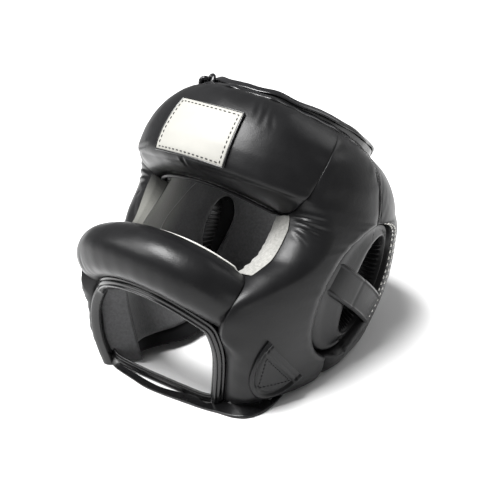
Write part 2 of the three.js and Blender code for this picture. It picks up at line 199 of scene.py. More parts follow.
def softened(values, reach):  # rounds the corners of a run
    weight = np.exp(-(np.arange(-3 * reach, 3 * reach + 1) / reach) ** 2 / 2)
    longer = np.pad(values, 3 * reach, mode="reflect", reflect_type="odd")
    return np.convolve(longer, weight / weight.sum(), "valid")


# Mesh makers

def addPiece(name, points, faces, material, node=None):
    tri = np.array([f[:3] for f in faces] + [[f[0], f[2], f[3]] for f in faces if len(f) > 3])
    a, b, c = (points[tri[:, k]] for k in range(3))
    if np.einsum("ij,ij->i", a, np.cross(b, c)).sum() < 0:  # inside out
        faces = [f[::-1] for f in faces]
    mesh = bpy.data.meshes.new(name)
    mesh.from_pydata(points.tolist(), [], faces)
    mesh.polygons.foreach_set("use_smooth", [True] * len(mesh.polygons))
    mesh.materials.append(material)
    mesh.update()
    obj = bpy.data.objects.new(name, mesh)
    bpy.context.scene.collection.objects.link(obj)
    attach(obj, "root")
    if node:
        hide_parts(node)
    return obj


def gridFaces(wide, tall, start=0, ring=False, flip=False):
    i, j = gridOf(np.arange(wide if ring else wide - 1), np.arange(tall - 1))
    k = (i + 1) % wide
    q = np.stack([i * tall + j, k * tall + j, k * tall + j + 1, i * tall + j + 1], -1)
    q = q.reshape(-1, 4) + start
    return (q[:, ::-1] if flip else q).tolist()


def sheetPiece(name, outer, inner, material, slot, node=None, ring=False):  # two faces and their edges
    wide, tall = outer.shape[:2]
    points = np.concatenate([outer.reshape(-1, 3), inner.reshape(-1, 3)])
    under = wide * tall
    faces = gridFaces(wide, tall, 0, ring) + gridFaces(wide, tall, under, ring, True)
    low = [i * tall for i in range(wide)]
    high = [i * tall + tall - 1 for i in range(wide)]
    runs = [(low, False), (high, True)]
    if not ring:
        runs += [(list(range(tall)), True), (list(range((wide - 1) * tall, wide * tall)), False)]
    for run, turned in runs:
        after = run[1:] + run[:1] if ring else run[1:]
        for a, b in zip(run, after):
            faces.append([a, b, b + under, a + under] if turned else [b, a, a + under, b + under])
    return addPiece(name, points, faces, material, node)


def framesOn(turn, level, height, ring=False):  # points of a run, with the ways across it and out
    p = lift(turn, level, height)
    after = np.roll(p, -1, 0) if ring else np.concatenate([p[1:], p[-1:]])
    before = np.roll(p, 1, 0) if ring else np.concatenate([p[:1], p[:-1]])
    way = unit(after - before)
    across = unit(np.cross(shellNormal(turn, level), way))
    return p, across, np.cross(way, across)


def sweepPiece(name, run, section, material, node=None, side=1, ring=False, floor=tableGap["pad"]):
    p, across, out = run
    section = np.broadcast_to(section, (len(p),) + np.shape(section)[-2:])  # one, or one for each frame
    points = p[:, None] + across[:, None] * section[..., :1] + out[:, None] * section[..., 1:]
    wide, tall = points.shape[:2]
    flat = np.arange(wide * tall).reshape(wide, tall)
    index = np.concatenate([flat, flat[:, :1]], 1).reshape(-1)  # each section closes on its first point
    faces = index[np.array(gridFaces(wide, tall + 1, 0, ring))].tolist()
    if not ring:
        faces += [flat[0].tolist(), flat[-1][::-1].tolist()]
    return addPiece(name, rest(points * mirrorFor(side), floor).reshape(-1, 3), faces, material, node)


def circle(count):
    return (np.arange(count) + 0.5) / count * 2 * math.pi


def roundSection(halfAcross, halfOut, count, power=0.75):  # an ellipse at power 1, squarer below
    bend = lambda x: np.sign(x) * np.abs(x) ** power
    angle = circle(count)
    return np.stack([halfAcross * bend(np.cos(angle)), halfOut * bend(np.sin(angle))], -1)


def cordSection(radius, count):
    return roundSection(radius, radius, count, 1)


def ridgedSection(look, count):  # a rolled binding with ridges along its face
    x, y = roundSection(look["halfAcross"], look["halfOut"], count).T
    valley = np.cos(math.pi * look["ridges"] * (x / look["halfAcross"] + 1) / 2) ** 2
    face = np.clip(np.sin(circle(count)), 0, 1) ** 0.5
    return np.stack([x, y - look["ridge"] * face * valley], -1)


def stitchRow(name, points, normals, sewing, material):
    reach = np.concatenate([[0], np.cumsum(np.linalg.norm(np.diff(points, axis=0), axis=1))])
    at = lambda s, v: np.stack([np.interp(s, reach, v[:, k]) for k in range(3)], -1)
    long, radius, sink = sewing["long"], sewing["radius"], sewing["sink"]
    pitch = long + sewing["gap"]
    rings, edges = 7, 6
    share = np.linspace(0, 1, rings)
    swell = np.sqrt(np.clip(1 - (2 * share - 1) ** 4, 0.05, 1))
    arch = (radius - sink) * np.sin(math.pi * share) - sink
    angle = np.arange(edges) / edges * 2 * math.pi
    allPoints, faces = [], []
    for k in range(max(1, int((reach[-1] - long) // pitch) + 1)):
        s = k * pitch + share * long
        p, n = at(s, points), unit(at(s, normals))
        across = unit(np.cross(n, unit(at(s + 0.2, points) - at(s - 0.2, points))))
        tube = (p + n * arch[:, None])[:, None] + radius * swell[:, None, None] * (
            across[:, None] * np.cos(angle)[None, :, None] + n[:, None] * np.sin(angle)[None, :, None])
        allPoints.append(tube.reshape(-1, 3))
        base = k * rings * edges
        for i in range(rings - 1):
            for j in range(edges):
                a, b = base + i * edges + j, base + i * edges + (j + 1) % edges
                faces.append([a, a + edges, b + edges, b])
        faces.append([base + j for j in range(edges)])
        faces.append([base + (rings - 1) * edges + j for j in reversed(range(edges))])
    return addPiece(name, rest(np.concatenate(allPoints), tableGap["stitch"]), faces, material)


# Materials

def linear(hexColour):
    parts = [int(hexColour[i:i + 2], 16) / 255 for i in (1, 3, 5)]
    return tuple(c / 12.92 if c <= 0.04045 else ((c + 0.055) / 1.055) ** 2.4 for c in parts) + (1,)


def addNode(tree, kind, settings, links=None):
    node = tree.nodes.new(kind)
    for key, value in settings.items():
        if hasattr(node, key):
            setattr(node, key, value)
        else:
            node.inputs[key].default_value = value
    for key, socket in (links or {}).items():
        tree.links.new(socket, node.inputs[key])
    return node


def perMetre(mm):  # texture scale for a pattern of this size
    return 1000 / mm


def newMaterial(name):
    material = bpy.data.materials.new(name)
    material.use_nodes = True
    tree = material.node_tree
    shader = tree.nodes["Principled BSDF"]
    coords = addNode(tree, "ShaderNodeTexCoord", {}).outputs["Object"]
    return material, tree, shader, coords


hideSize = {"cloud": 24, "crease": 5, "pebble": 1.7}  # mm
napSize = {"cloud": 18, "speck": 2.2, "fibre": 1.3}


def makeLeather(name, dark, lighterTone, rough, pebbleDeep, creaseDeep, specular=0.19):  # depths in mm
    material, tree, shader, coords = newMaterial(name)
    cloud = addNode(tree, "ShaderNodeTexNoise", {"Scale": perMetre(hideSize["cloud"]), "Detail": 4.0},
                    {"Vector": coords})
    tone = addNode(tree, "ShaderNodeMixRGB", {"Color1": linear(dark), "Color2": linear(lighterTone)},
                   {"Fac": cloud.outputs["Fac"]})
    gloss = addNode(tree, "ShaderNodeMapRange",
                    {"From Min": 0.3, "From Max": 0.7, "To Min": rough[0], "To Max": rough[1]},
                    {"Value": cloud.outputs["Fac"]})
    pebble = addNode(tree, "ShaderNodeTexVoronoi",
                     {"feature": "DISTANCE_TO_EDGE", "Scale": perMetre(hideSize["pebble"])},
                     {"Vector": coords})
    crease = addNode(tree, "ShaderNodeTexNoise",
                     {"Scale": perMetre(hideSize["crease"]), "Detail": 5.0, "Distortion": 0.6},
                     {"Vector": coords})
    soft = addNode(tree, "ShaderNodeBump", {"Strength": 0.5, "Distance": creaseDeep / 1000},
                   {"Height": crease.outputs["Fac"]})
    fine = addNode(tree, "ShaderNodeBump", {"Strength": 0.5, "Distance": pebbleDeep / 1000},
                   {"Height": pebble.outputs["Distance"], "Normal": soft.outputs["Normal"]})
    shader.inputs["IOR"].default_value = 1.5
    shader.inputs["Specular IOR Level"].default_value = specular
    tree.links.new(tone.outputs["Color"], shader.inputs["Base Color"])
    tree.links.new(gloss.outputs["Result"], shader.inputs["Roughness"])
    tree.links.new(fine.outputs["Normal"], shader.inputs["Normal"])
    return material


def makeSuede(name, dark, light, napDeep, litSpot=None, sheen=0.25):
    material, tree, shader, coords = newMaterial(name)
    cloud = addNode(tree, "ShaderNodeTexNoise",
                    {"Scale": perMetre(napSize["cloud"]), "Detail": 6.0, "Roughness": 0.65},
                    {"Vector": coords})
    tone = addNode(tree, "ShaderNodeMixRGB", {"Color1": linear(dark), "Color2": linear(light)},
                   {"Fac": cloud.outputs["Fac"]})
    speck = addNode(tree, "ShaderNodeTexNoise", {"Scale": perMetre(napSize["speck"]), "Detail": 4.0},
                    {"Vector": coords})
    specks = addNode(tree, "ShaderNodeMapRange",
                     {"From Min": 0.35, "From Max": 0.65, "To Min": 0.8, "To Max": 1.1},
                     {"Value": speck.outputs["Fac"]})
    tone = addNode(tree, "ShaderNodeVectorMath", {"operation": "SCALE"},
                   {"Vector": tone.outputs["Color"], "Scale": specks.outputs["Result"]})
    if litSpot:  # painted light: a lighter tone round one place, its reaches in metres
        spot = rest(shell(litSpot["turn"], litSpot["level"]))
        away = addNode(tree, "ShaderNodeVectorMath", {"operation": "DISTANCE"}, {0: coords})
        away.inputs[1].default_value = tuple(spot)
        lighterTone = addNode(tree, "ShaderNodeMapRange", {"From Min": litSpot["far"], "From Max": litSpot["near"]},
                       {"Value": away.outputs["Value"]})
        tone = addNode(tree, "ShaderNodeMixRGB", {"Color2": linear(litSpot["colour"])},
                       {"Fac": lighterTone.outputs["Result"], "Color1": tone.outputs["Vector"]})
    fibre = addNode(tree, "ShaderNodeTexNoise", {"Scale": perMetre(napSize["fibre"]), "Detail": 3.0},
                    {"Vector": coords})
    fuzz = addNode(tree, "ShaderNodeBump", {"Strength": 0.6, "Distance": napDeep / 1000},
                   {"Height": fibre.outputs["Fac"]})
    shader.inputs["Roughness"].default_value = 0.95
    shader.inputs["Specular IOR Level"].default_value = 0.2
    shader.inputs["Sheen Weight"].default_value = sheen
    shader.inputs["Sheen Roughness"].default_value = 0.6
    tree.links.new(tone.outputs[0], shader.inputs["Base Color"])
    tree.links.new(fuzz.outputs["Normal"], shader.inputs["Normal"])
    return material


# Chrome-tanned cowhide with a pigmented satin coat: near black, broad soft sheen, fine pebble drawn
# a little coarser than the real half millimetre so that it shows.
blackCowhide = makeLeather("black_cowhide_satin", "#0b0b0c", "#141415", (0.31, 0.41), 0.1, 0.22, 0.2)
# The same hide rolled smooth for binding and straps: tighter, brighter glints.
smoothCowhide = makeLeather("black_cowhide_smooth", "#09090a", "#111112", (0.22, 0.30), 0.05, 0.12, 0.4)
# Split suede with a brushed nap: matt grey, a little lighter where the nap lies over.
greySuede = makeSuede("grey_split_suede", "#3b3b3c", "#4b4b4c", 0.5)
# A lighter copy of the grey suede for the near eye facing: painted light where that facing is lit.
paleSuede = makeSuede("pale_split_suede", "#6a6a67", "#908f8b", 0.9)
# The pale suede of the eye piping's lower run, lighter than the facing: painted light along the lit top
# edge of the face bar.
paleEdge = makeSuede("pale_suede_piping_painted_light", "#a9a8a4", "#c0bfba", 0.3)
# The grey suede painted paler round one spot beside the far corner of the eyes, a painted patch of light,
# and a darker copy for its shaded turned edge, painted shade with a smaller painted patch of light.
liningLitSpot = {"turn": -56, "level": 0.46, "near": 0.008, "far": 0.055, "colour": "#8c8c86"}
edgeSpot = {"turn": -50, "level": 0.43, "near": 0.005, "far": 0.038, "colour": "#5c5c58"}
spotLitSuede = makeSuede("split_suede_painted_light", "#3b3b3c", "#4b4b4c", 0.6, liningLitSpot)
# Painted shade: the far eye facing in a much darker copy of the suede, lighter round one spot as painted
# light.
shadedSuede = makeSuede("split_suede_edge_painted_shade_and_light", "#171718", "#202021", 0.6, edgeSpot, 0.03)
# Coated white leather for the patch: clean, satin, faintly warm.
whiteCoated = makeLeather("white_coated_leather", "#84837f", "#8e8d88", (0.42, 0.5), 0.06, 0.1)
# Waxed flat leather lace: black, hard narrow glints along its edges.
waxedLace = makeLeather("black_waxed_lace", "#0a0a0b", "#141416", (0.2, 0.28), 0.15, 0.1, 0.5)
# Bonded nylon thread, black and white: a dull even shine.
blackThread = makeLeather("black_nylon_thread", "#161617", "#202022", (0.4, 0.5), 0.05, 0.05)
whiteThread = makeLeather("white_nylon_thread", "#dcdad4", "#efeee9", (0.45, 0.55), 0.05, 0.05)
print("materials ready")


# Padded panels

seamGap = 0.1
padLift = 0.5
fullPad = 20  # padding thinner than this takes less of the swell and the dents
padSpread = 1.24  # the padding's face is this much wider than the lining under it
swellSize = 46
seamFlat = 1.5  # the gathers start about this far from a seam
# A pad's borders are start and end at its sides, low and high below and above.
gatherColumns = ["border", "size", "deep", "reach"]
creaseColumns = ["turn", "level", "heading", "long", "wide", "deep", "bend"]
dentColumns = ["turn", "level", "spanTurn", "spanLevel", "deep", "side"]


def rolled(distance, width, power=0.5):
    return (1 - (1 - np.clip(distance / width, 0, 1)) ** 2) ** power


def crowded(x):  # more points near both ends
    return mix(x, 0.5 - 0.5 * np.cos(math.pi * x), 0.7)


def makePad(place, size, borders):
    n, m = 64, 512
    p = shell(*place(*gridOf(np.linspace(0, 1, n + 1), np.linspace(0, 1, m + 1))))
    across, up = (np.linalg.norm(np.diff(p, axis=k), axis=-1) for k in (0, 1))
    widths = across.sum(0)
    climbs = np.concatenate([np.zeros((n + 1, 1)), np.cumsum(up, 1)], 1)  # mm up from the lower border

    def climbed(across, up):
        x, y = np.broadcast_arrays(np.clip(across, 0, 1) * n, np.clip(up, 0, 1) * m)
        i, j = np.minimum(x.astype(int), n - 1), np.minimum(y.astype(int), m - 1)
        low = mix(climbs[i, j], climbs[i + 1, j], x - i)
        high = mix(climbs[i, j + 1], climbs[i + 1, j + 1], x - i)
        return mix(low, high, y - j)

    wide = lambda up: np.interp(up, np.linspace(0, 1, m + 1), widths)
    tall = lambda across: climbed(across, 1.0)

    def reaches(across, up):  # mm from each border
        w, low = wide(up), climbed(across, up)
        return {"start": across * w, "end": (1 - across) * w, "low": low, "high": tall(across) - low}

    def height(across, up):
        far = reaches(across, up)
        kept = 1
        for name, rule in borders(across, up).items():
            kept = kept * (1 - rule["drop"] * (1 - rolled(far[name], rule["roll"], rule.get("round", 0.5))))
        return size["edge"] + (size["thick"] - size["edge"]) * kept

    def find(turn, level, tries=14, step=1e-3):  # where on the pad a turn and level lie, by Newton's method
        a = np.full(np.shape(turn), 0.5)
        b = np.full(np.shape(turn), 0.5)
        for k in range(tries):
            da, db = np.where(a > 0.5, -step, step), np.where(b > 0.5, -step, step)
            t0, l0 = place(a, b)
            t1, l1 = place(a + da, b)
            t2, l2 = place(a, b + db)
            m0, m1, m2, m3 = (t1 - t0) / da, (t2 - t0) / db, (l1 - l0) / da, (l2 - l0) / db
            dt, dl = turn - t0, level - l0
            area = m0 * m3 - m1 * m2
            a = np.clip(a + (m3 * dt - m1 * dl) / area, 0, 1)
            b = np.clip(b + (m0 * dl - m2 * dt) / area, 0, 1)
        return a, b

    return {"place": place, "wide": wide, "tall": tall, "reaches": reaches, "height": height, "find": find}


def creaseDepth(turn, level, rows):  # pressed folds: each a groove with two soft lips
    total = 0
    for row in rows:
        t0, l0 = row["turn"], row["level"]
        perTurn = np.linalg.norm(shell(t0 + 0.5, l0) - shell(t0 - 0.5, l0)) * padSpread
        perLevel = np.linalg.norm(shell(t0, l0 + 0.005) - shell(t0, l0 - 0.005)) * 100
        x, y = (turn - t0) * perTurn, (level - l0) * perLevel
        h = math.radians(row["heading"])
        u, v = x * math.cos(h) + y * math.sin(h), -x * math.sin(h) + y * math.cos(h)
        v = v - row["bend"] * u * u / row["long"]
        w = row["wide"]
        fade = np.exp(-(u / (row["long"] / 2)) ** 4)
        lips = 0.4 * np.exp(-((np.abs(v) - 1.7 * w) / w) ** 2)
        total = total + row["deep"] * fade * (lips - np.exp(-(v / w) ** 2))
    return total


def padTop(pad, look, a, b, side=1):  # height of the padding with its dents
    turn, level = pad["place"](a, b)
    h = pad["height"](a, b)
    for dent in look["dents"]:
        if dent["side"] == side:
            x, y = (turn - dent["turn"]) / dent["spanTurn"], (level - dent["level"]) / dent["spanLevel"]
            h = h - dent["deep"] * np.exp(-(x ** 2 + y ** 2)) * np.clip(h / fullPad, 0, 1)
    return h


def padPiece(name, pad, look, node, side=1):
    n, m = look["grid"]
    a, b = gridOf(crowded(np.linspace(0, 1, n + 1)), crowded(np.linspace(0, 1, m + 1)))
    w = pad["wide"](b)
    a = mix(seamGap / 2 / w, 1 - seamGap / 2 / w, a)
    t = pad["tall"](a)
    b = mix(seamGap / 2 / t, 1 - seamGap / 2 / t, b)
    turn, level = pad["place"](a, b)
    h = padTop(pad, look, a, b, side)
    far = pad["reaches"](a, b)
    swell = look["swell"] * waves(shell(turn, level), swellSize, look["seed"] + 11 * side)
    detail = swell * np.clip(h / fullPad, 0, 1)
    for k, gather in enumerate(look["gathers"]):
        border = gather["border"]
        s = far["low"] if border in ("start", "end") else far["start"]
        d = far[border]
        folds = gather["deep"] * ripple(s, d, gather["size"], look["seed"] + 5 * k + side)
        detail = detail + folds * np.exp(-d / gather["reach"]) * (1 - np.exp(-d / seamFlat))
    detail = detail + creaseDepth(turn, level, look["creases"])
    outer = placed(turn, level, np.maximum(h + detail, 1.0), side)
    obj = sheetPiece(name, outer, placed(turn, level, padLift, side), blackCowhide, "black_leather", node)
    return obj


ear = {"turn": 98, "level": 0.365, "halfTurn": 23, "halfLevel": 0.24, "lean": 30}
earMouths = {1: {"turn": 105.5, "level": 0.35, "halfTurn": 12.8, "halfLevel": 0.175, "lean": 28},
             -1: {"turn": 103, "level": 0.325, "halfTurn": 10, "halfLevel": 0.185, "lean": 24}}
earHole = {"turn": 113, "level": 0.355, "halfTurn": 9, "halfLevel": 0.145, "lean": 10}
earReach = 42  # mm from the middle of the ear opening to its edge
earLow = {"along": 0.1, "angle": 262}
earHigh = {"along": 0.72, "angle": 112}
sideFoot = (92, 0.012)
sideRim = (98, 1)


def onOval(oval, angle, grow=1):
    rise = oval["halfLevel"] * grow * np.sin(np.radians(angle))
    level = oval["level"] + rise
    turn = oval["turn"] + oval["halfTurn"] * grow * np.cos(np.radians(angle))
    return turn + oval["lean"] * (level - oval["level"]), level


def frontBorder(share):
    return along(frontRows, "turn", share), along(frontRows, "level", share)


def earBorder(share, highAngle):  # from the jaw round the ear to the rim
    low, high = onOval(ear, earLow["angle"]), onOval(ear, earHigh["angle"])
    s1 = np.clip(share / earLow["along"], 0, 1)
    s2 = np.clip((share - earHigh["along"]) / (1 - earHigh["along"]), 0, 1)
    on = np.clip((share - earLow["along"]) / (earHigh["along"] - earLow["along"]), 0, 1)
    oval = onOval(ear, mix(earLow["angle"], highAngle, on))
    pick = lambda k: np.where(share < earLow["along"], mix(sideFoot[k], low[k], s1),
                              np.where(share > earHigh["along"], mix(high[k], sideRim[k], s2), oval[k]))
    return pick(0), pick(1)


def earRule(up, roll):  # the padding drops a little round the ear and hardly in the seam above it
    return {"drop": mix(0.2, 0.04, np.clip((up - 0.66) / 0.1, 0, 1)), "roll": roll}


def facePlace(low, high, size):
    def place(across, up):
        reach = 2 * across - 1
        turn, level = frontBorder(mix(low, high, up))
        return turn * reach, mix(mix(size["centreLow"], size["centreHigh"], up), level, reach * reach)
    return place


forehead = {"thick": 35, "edge": 2, "centreLow": 0.583, "centreHigh": 1, "grid": (210, 110), "seed": 21,
            "swell": 0.4, "fill": 0.85, "dents": [],
            "gathers": byRow(gatherColumns, [("low", 13, 0.7, 10), ("start", 14, 0.35, 12),
                                             ("end", 14, 0.35, 12), ("high", 16, 0.6, 9)]),
            "creases": byRow(creaseColumns, [(-1.5, 0.618, 100, 11, 1.5, 1.5, 0),
                                             (-33, 0.635, 14, 26, 2.2, 0.8, 0.2),
                                             (-39, 0.6, 22, 18, 1.8, 0.8, 0),
                                             (21.5, 0.87, 105, 11, 1.8, 0.4, 0),
                                             (26, 0.855, 96, 14, 1.8, 0.45, 0.2),
                                             (30, 0.83, 112, 10, 1.6, 0.3, 0)])}


def foreheadBorders(a, b):
    seam = {"drop": mix(0.05, 0.01, b), "roll": 5}
    outward = (2 * a - 1) ** 4
    return {"start": seam, "end": seam, "low": {"drop": 0.82, "roll": 24},
            "high": {"drop": mix(0.8, 0.66, outward), "roll": 88, "round": mix(0.8, 0.88, outward)}}


foreheadShape = makePad(facePlace(eyeTop, 1, forehead), forehead, foreheadBorders)

faceBar = {"thick": 45, "edge": 2, "centreLow": 0.285, "centreHigh": 0.41, "grid": (210, 92), "seed": 33,
           "swell": 0.4, "fill": 0.9,
           "gathers": byRow(gatherColumns, [("low", 15, 0.35, 9), ("start", 12, 0.3, 14),
                                            ("end", 12, 0.3, 12), ("high", 15, 0.4, 8)]),
           "creases": byRow(creaseColumns, [(-19.5, 0.262, 62, 15, 1.7, 0.45, 0),
                                            (-25, 0.272, 75, 17, 1.8, 0.5, 0.2),
                                            (-13, 0.26, 55, 11, 1.5, 0.35, 0)]),
           "dents": byRow(dentColumns, [(-32, 0.3, 15, 0.075, -4, 1), (-27, 0.392, 20, 0.035, 4, 1)])}


def faceBarBorders(a, b):
    seam = {"drop": 0.26, "roll": 56, "round": 1}
    return {"start": seam, "end": seam, "low": {"drop": 0.6, "roll": 20},
            "high": {"drop": 0.85, "roll": 24}}


faceBarShape = makePad(facePlace(barFoot, eyeFoot, faceBar), faceBar, faceBarBorders)

sidePad = {"thick": 36, "edge": 2, "grid": (110, 210), "seed": 45, "swell": 0.35, "fill": 0.8,
           "gathers": byRow(gatherColumns, [("start", 12, 0.35, 12), ("end", 11, 0.25, 8),
                                            ("low", 12, 0.5, 8), ("high", 15, 0.5, 9)]),
           "creases": byRow(creaseColumns, [(57, 0.54, 3, 22, 1.7, 1.2, 0),
                                            (58, 0.516, -11, 25, 1.6, 1.3, 0.15),
                                            (59.5, 0.492, -24, 20, 1.6, 1.1, 0),
                                            (57.5, 0.468, -44, 15, 1.5, 0.9, 0)]),
           "dents": byRow(dentColumns, [(62, 0.44, 16, 0.13, 9, -1),
                                        (58, 0.26, 17, 0.1, 14, -1),
                                        (50, 0.375, 12, 0.07, 13, -1),
                                        (62, 0.11, 14, 0.14, 8, -1),
                                        (43, 0.1, 9, 0.15, -7, -1)])}


def sidePlace(across, up):
    f, e = frontBorder(up), earBorder(up, earHigh["angle"])
    return mix(f[0], e[0], across), mix(f[1], e[1], across)


def sideBorders(a, b):
    return {"start": {k: along(frontRows, k, b) for k in ("drop", "roll", "round")},
            "end": earRule(b, 9), "low": {"drop": 0.45, "roll": 18},
            "high": {"drop": mix(0.66, 0.6, a), "roll": mix(88, 92, a), "round": 0.89}}


sidePadShape = makePad(sidePlace, sidePad, sideBorders)

backPad = {"thick": 36, "edge": 2, "grid": (200, 120), "seed": 57, "swell": 0.4, "fill": 0.8,
           "gathers": byRow(gatherColumns, [("start", 12, 0.15, 9), ("end", 12, 0.15, 9),
                                            ("low", 14, 0.5, 9), ("high", 16, 0.4, 9)]),
           "creases": [], "dents": []}


def backPlace(across, up):
    reach = 2 * across - 1
    turn, level = earBorder(up, earHigh["angle"] + 360)
    return 180 + (180 - turn) * reach, mix(up, level, reach * reach)


def backBorders(a, b):
    inward = eased(np.minimum(a, 1 - a) / 0.2)  # 0 at the ear seams
    return {"start": earRule(b, 16), "end": earRule(b, 16), "low": {"drop": 0.6, "roll": 24},
            "high": {"drop": mix(0.6, 0.5, inward), "roll": mix(92, 68, inward), "round": 0.89}}


backPadShape = makePad(backPlace, backPad, backBorders)

padPiece("forehead_padding", foreheadShape, forehead, "forehead_pad")
padPiece("face_bar_padding", faceBarShape, faceBar, "face_bar")
padPiece("back_padding", backPadShape, backPad, "back_pad")
for sideName, side in sides.items():
    padPiece("side_padding_" + sideName, sidePadShape, sidePad, "side_pad_" + sideName, side)
print("padded panels ready")


# Linings

lining = {"thick": 2.0, "inset": 0.004, "wave": 34, "waveSeed": 91, "waveMost": 0.6}
sideSuede = {1: greySuede, -1: spotLitSuede}


def liningWaves(turn, level):
    soft = 0.5 * waves(shell(turn, level), lining["wave"], lining["waveSeed"])
    return np.clip(soft, -lining["waveMost"], lining["waveMost"])


def liningPiece(name, pad, grid, node, side=1, foot=lining["inset"], material=greySuede):
    n, m = grid
    far = 1 - lining["inset"]
    a, b = gridOf(np.linspace(lining["inset"], far, n + 1), np.linspace(foot, far, m + 1))
    turn, level = pad["place"](a, b)
    outer = placed(turn, level, -padLift, side, tableGap["lining"])
    inside = -padLift - lining["thick"] + liningWaves(turn, level)
    inner = placed(turn, level, inside, side, tableGap["lining"])
    sheetPiece(name, outer, inner, material, "suede_lining", node)


liningPiece("forehead_suede", foreheadShape, (60, 30), "forehead_lining")
liningPiece("face_bar_suede", faceBarShape, (60, 20), "bar_lining")
liningPiece("back_suede", backPadShape, (80, 60), "back_lining", foot=0.05)
for sideName, side in sides.items():
    liningPiece("side_suede_" + sideName, sidePadShape, (30, 80), "side_lining_" + sideName, side,
                0.04, sideSuede[side])

mouthSuede = {"to": 0.92 * barFoot, "grid": (41, 13), "foot": 0.018, "footTo": 0.03, "under": 1.5,
              "top": {1: (17, 17), -1: (27, 12)},  # mm out at the jaw and at the bar
              "behind": (0.2, 0.9)}  # degrees behind the padding's edge, the two faces


def mouthSuedePiece(sideName, side):  # the lining turned out over the thick edge at the mouth's sides
    n, m = mouthSuede["grid"]
    share, up = gridOf(np.linspace(0, mouthSuede["to"], n), np.linspace(0, 1, m))
    turn, level = frontBorder(share)
    level = level - mouthSuede["foot"] * np.clip(1 - share / mouthSuede["footTo"], 0, 1)
    top = mix(*mouthSuede["top"][side], (share / barFoot) ** 2)
    wall = np.minimum(padTop(sidePadShape, sidePad, 0 * share, share, side) - mouthSuede["under"], top)
    h = mix(-padLift - lining["thick"], wall, up)
    faces = [placed(turn - d, level, h, side, tableGap["lining"]) for d in mouthSuede["behind"]]
    sheetPiece("mouth_suede_" + sideName, *faces, greySuede, "suede_lining")


for sideName, side in sides.items():
    mouthSuedePiece(sideName, side)
print("linings ready")


# Ear openings

earSuede = {"grid": (96, 13), "over": 2.5, "hole": 1.04, "outer": -0.2, "inner": 0.1}


def earSuedePiece(sideName, side):  # the lining carried on from the padding to the ear hole
    n, m = earSuede["grid"]
    angle, share = gridOf(np.arange(n) / n * 360, np.linspace(0, 1, m))
    edge = onOval(ear, angle, 1 + earSuede["over"] / earReach)
    hole = onOval(earHole, angle, earSuede["hole"])
    turn, level = mix(edge[0], hole[0], share), mix(edge[1], hole[1], share)
    outer = placed(turn, level, -padLift + earSuede["outer"], side, tableGap["lining"])
    inside = earSuede["inner"] - padLift - lining["thick"] + liningWaves(turn, level)
    inner = placed(turn, level, inside, side, tableGap["lining"])
    sheetPiece("ear_suede_" + sideName, outer, inner, sideSuede[side], "suede_lining", ring=True)


earRoll = {"around": 448, "inward": 48, "inset": 1, "fill": 0.6,
           "gather": 0.04, "gathers": 56, "gatherFrom": 0.62, "gatherRamp": 0.12,
           "steps": byColumn(["inward", "height"], [
               [0, 25.5], [0.1, 27.2], [0.35, 26.3], [0.6, 26.6], [0.8, 27],
               [0.93, 25.6], [1, 22.5], [1.12, 16], [1.4, 8.5], [2, 0.6]])}


def earRollPiece(sideName, side):
    n, m = earRoll["around"], earRoll["inward"]
    angle, share = gridOf(np.arange(n) / n * 360, np.linspace(0, 1, m + 1))
    around = np.radians(angle)
    wave = np.sin(around * earRoll["gathers"] + 2 * np.sin(around * 5))  # gathered leather down the wall
    gathered = np.clip((share - earRoll["gatherFrom"]) / earRoll["gatherRamp"], 0, 1)
    grow = 1 + earRoll["gather"] * wave * gathered
    edge = onOval(ear, angle, 1 - earRoll["inset"] / earReach)
    mouth, hole = onOval(earMouths[side], angle, grow), onOval(earHole, angle, grow)

    def between(inward):  # from the padding's edge to the mouth, then down the wall to the hole
        a, b = np.clip(inward, 0, 1), np.clip(inward - 1, 0, 1)
        return [mix(mix(edge[k], mouth[k], a), hole[k], b) for k in (0, 1)]

    outer = placed(*between(along(earRoll["steps"], "inward", share)),
                   along(earRoll["steps"], "height", share), side)
    inner = placed(*between(2 * share), padLift, side)
    obj = sheetPiece("ear_padding_" + sideName, outer, inner, blackCowhide, "black_leather",
                     "ear_roll_" + sideName, ring=True)


earStrap = {"wide": 28, "thick": 2.6, "from": (77.5, 0.386), "to": (119.5, 0.224), "steps": 90, "soft": 8,
            "bead": 1.0, "beadAt": 11.8, "beadWide": 0.9, "fold": 0.38, "foldWide": 0.02, "foldDeep": 0.4,
            "heights": byColumn(["height"], [
                [23], [28], [29], [29.8], [31], [32], [32.8], [33.2], [33.4], [33.2]])}


def earStrapSection(upper=61, lower=13):  # a flat strap with a sewn bead along each edge
    half, thick = earStrap["wide"] / 2, earStrap["thick"] / 2
    x = np.concatenate([np.linspace(-half, half, upper), np.linspace(half, -half, lower)[1:-1]])
    top = thick + earStrap["bead"] * np.exp(-((np.abs(x) - earStrap["beadAt"]) / earStrap["beadWide"]) ** 2)
    edge = np.sqrt(np.clip(1 - (np.abs(x) / half) ** 10, 0, 1))
    return np.stack([x, np.where(np.arange(len(x)) < upper, top, -thick) * np.maximum(edge, 0.05)], -1)


def earStrapPiece(sideName, side):
    share = np.linspace(0, 1, earStrap["steps"] + 1)
    turn, level = (mix(a, b, share) for a, b in zip(earStrap["from"], earStrap["to"]))
    run = framesOn(turn, level, along(earStrap["heights"], "height", share))
    # pulled straight over the opening
    p, across, out = (np.stack([softened(v[:, k], earStrap["soft"]) for k in range(3)], -1) for v in run)
    across, out = unit(across), unit(out)
    fold = np.exp(-((share - earStrap["fold"]) / earStrap["foldWide"]) ** 2)
    p = p - out * earStrap["foldDeep"] * fold[:, None]
    sweepPiece("ear_band_" + sideName, (p, across, out), earStrapSection(), blackCowhide,
               "ear_strap_" + sideName, side)


for sideName, side in sides.items():
    earSuedePiece(sideName, side)
    earRollPiece(sideName, side)
    earStrapPiece(sideName, side)

edgeSewing = {"rows": (1.2, 4.4), "from": 0.27, "to": 0.68, "lean": 0.5, "out": 30, "proud": 0.1,
              "thread": {"long": 3.4, "gap": 2.3, "radius": 0.58, "sink": 0.1}}
seamWelt = {"radius": 0.9, "from": 0.74, "to": 0.985, "proud": 0.3}


